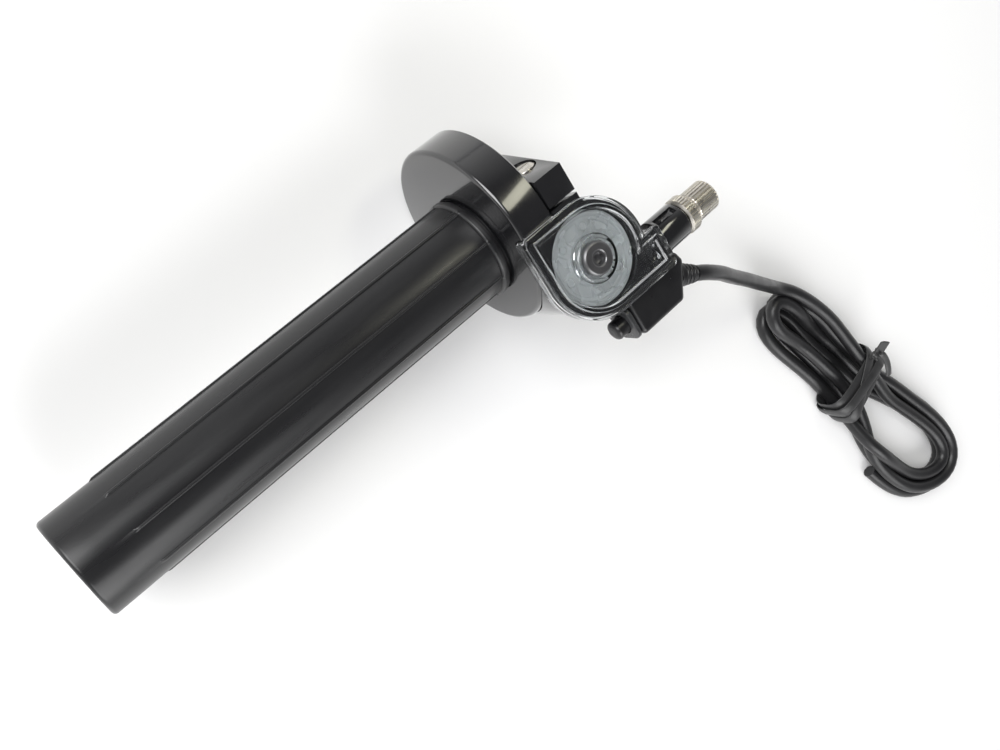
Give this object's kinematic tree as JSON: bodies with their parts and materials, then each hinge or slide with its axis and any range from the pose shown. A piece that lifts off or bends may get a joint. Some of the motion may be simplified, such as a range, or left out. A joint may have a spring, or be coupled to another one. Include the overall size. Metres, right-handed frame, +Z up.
{
  "type": "throttle grip",
  "caption": "Quick-action twist throttle for a 22 mm handlebar: drum housing, cable roller under a clear cover, knurled adjuster and side kill switch on a tied lead.",
  "frame": {"origin": "bottom centre of the box of the object without its free lead; the bar axis is 25.3 mm above it", "axes": "+X along the handlebar from the tube's open end to the clamp, +Z up out of the clear cover, +Y away from the kill switch"},
  "size_m": [0.2512, 0.2139, 0.0529],
  "materials": {
    "satin_black": "satin",
    "gloss_black": "gloss",
    "clear": "clear",
    "milky": "satin",
    "nickel": "satin",
    "black_oxide": "satin",
    "steel": "satin",
    "brass": "satin",
    "smoke_grey": "gloss",
    "black_pvc": "satin"
  },
  "bodies": {
    "housing": {"drum_shell": "gloss_black", "roller_housing": "gloss_black", "clear_cover": "clear", "shell_screw_upper": "steel", "shell_screw_lower": "steel", "roller_bush": "steel", "roller_screw": "black_oxide", "clamp_bolt": "nickel", "switch_body": "satin_black", "switch_cap": "smoke_grey", "button_spring": "steel", "contact_post_upper": "brass", "contact_post_lower": "brass", "switch_screw": "steel", "strain_relief": "black_pvc", "cord_lead": "black_pvc", "cord_hank": "black_pvc", "twist_tie": "black_pvc"},
    "twist": {"throttle_tube": "satin_black"},
    "roller": {"roller": "milky"},
    "adjuster_seat": {"cable_seat": "smoke_grey"},
    "adjuster": {"adjuster_screw": "nickel"},
    "lock_nut": {"adjuster_lock_nut": "nickel"},
    "button": {"kill_button": "satin_black", "contact_disc": "brass"}
  },
  "joints": [
    {"name": "throttle_twist", "type": "hinge", "parent": "housing", "child": "twist", "pos_m": [-0.02745, 0.0067, 0.0253], "axis": [-1, 0, 0], "range_deg": [0, 80]},
    {"name": "roller_spin", "type": "hinge", "parent": "housing", "child": "roller", "pos_m": [0.04675, -0.0077, 0.0467], "axis": [0, 0, -1], "range_deg": [0, 175]},
    {"name": "adjuster_travel", "type": "slide", "parent": "housing", "child": "adjuster_seat", "axis": [1, 0, 0], "range_m": [0, 0.004]},
    {"name": "adjuster_turn", "type": "hinge", "parent": "adjuster_seat", "child": "adjuster", "pos_m": [0.08105, -0.016, 0.0467], "axis": [1, 0, 0], "range_deg": [0, 1800]},
    {"name": "lock_nut_turn", "type": "hinge", "parent": "housing", "child": "lock_nut", "pos_m": [0.07705, -0.016, 0.0467], "axis": [1, 0, 0], "range_deg": [-180, 180]},
    {"name": "kill_press", "type": "slide", "parent": "housing", "child": "button", "axis": [1, 0, 0], "range_m": [0, 0.0022], "stiffness_N_per_m": 500, "springref_m": -0.002, "deforming": ["button_spring"]}
  ],
  "couplings": [
    {"joint": "roller_spin", "follows": "throttle_twist", "ratio": 2.1867},
    {"joint": "adjuster_travel", "follows": "adjuster_turn", "m_per_rad": 0.000127}
  ]
}
